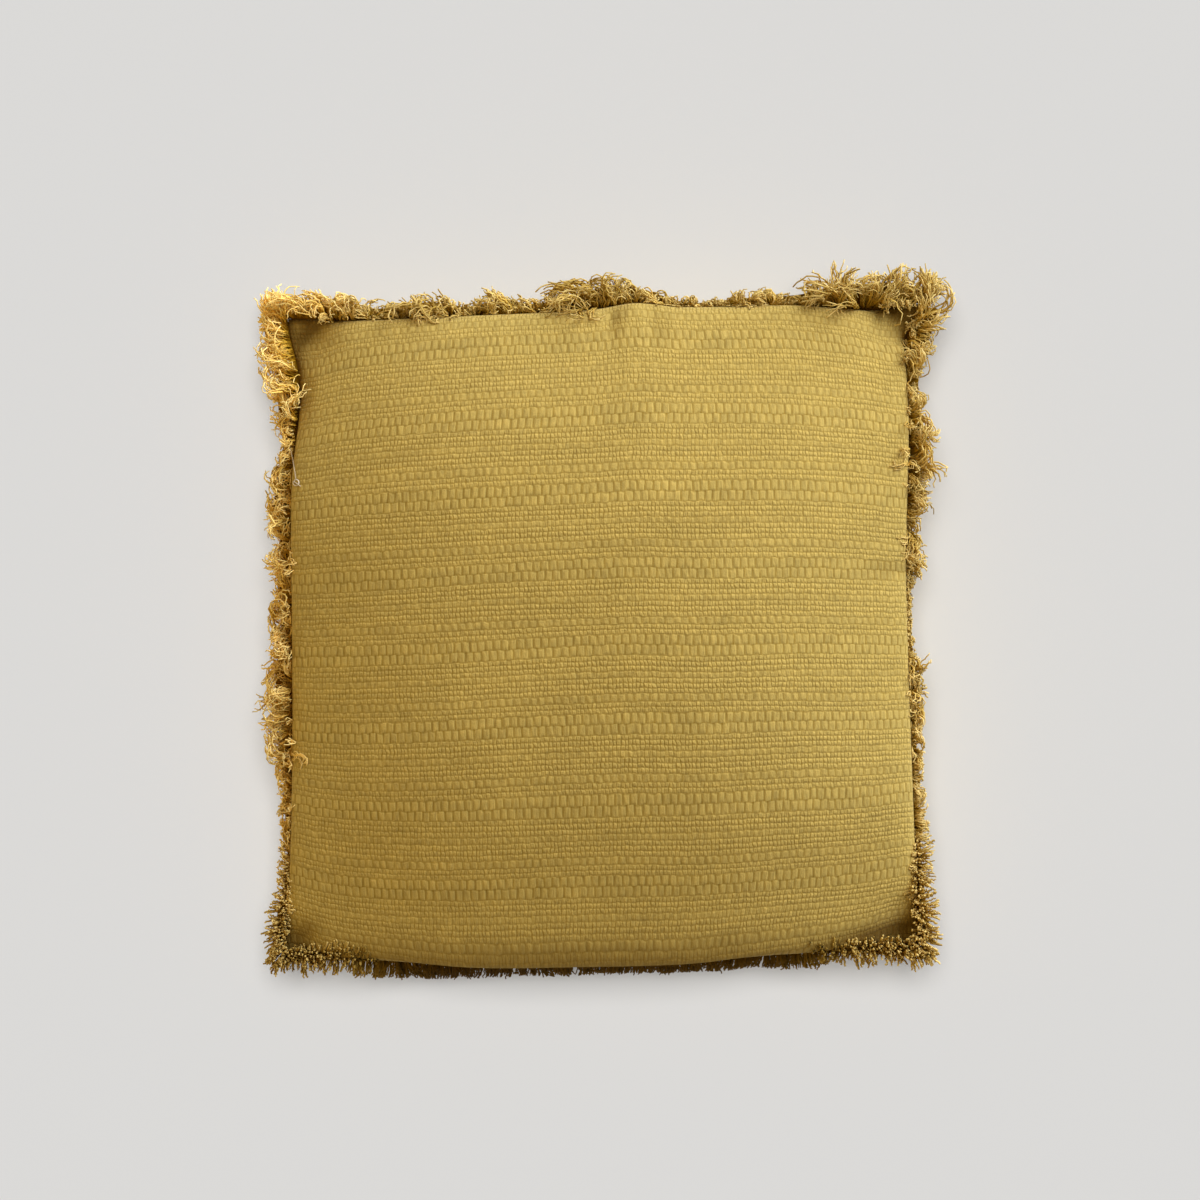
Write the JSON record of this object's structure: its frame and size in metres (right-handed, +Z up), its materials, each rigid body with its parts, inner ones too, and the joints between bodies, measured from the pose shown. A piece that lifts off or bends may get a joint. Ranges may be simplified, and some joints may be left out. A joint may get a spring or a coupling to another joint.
{
  "type": "fringed cushion",
  "caption": "Square filled scatter cushion in a ribbed ochre weave, crowned on both faces, with a frayed brush fringe along every side.",
  "frame": {"origin": "on the floor under the middle of the cushion, in the flat spot of the underside", "axes": "+Z up out of the face that shows, +Y to the side that is uppermost in use, +X to the right seen from above"},
  "size_m": [0.4771, 0.4901, 0.1295],
  "materials": {
    "cover": "matte heavy cotton plain weave with thick and thin weft yarns",
    "fringe": "matte kinked loose cotton yarn"
  },
  "bodies": {
    "root": {"cushion": "cover", "fringe_left": "fringe", "fringe_right": "fringe", "fringe_top": "fringe", "fringe_bottom": "fringe"}
  },
  "joints": []
}
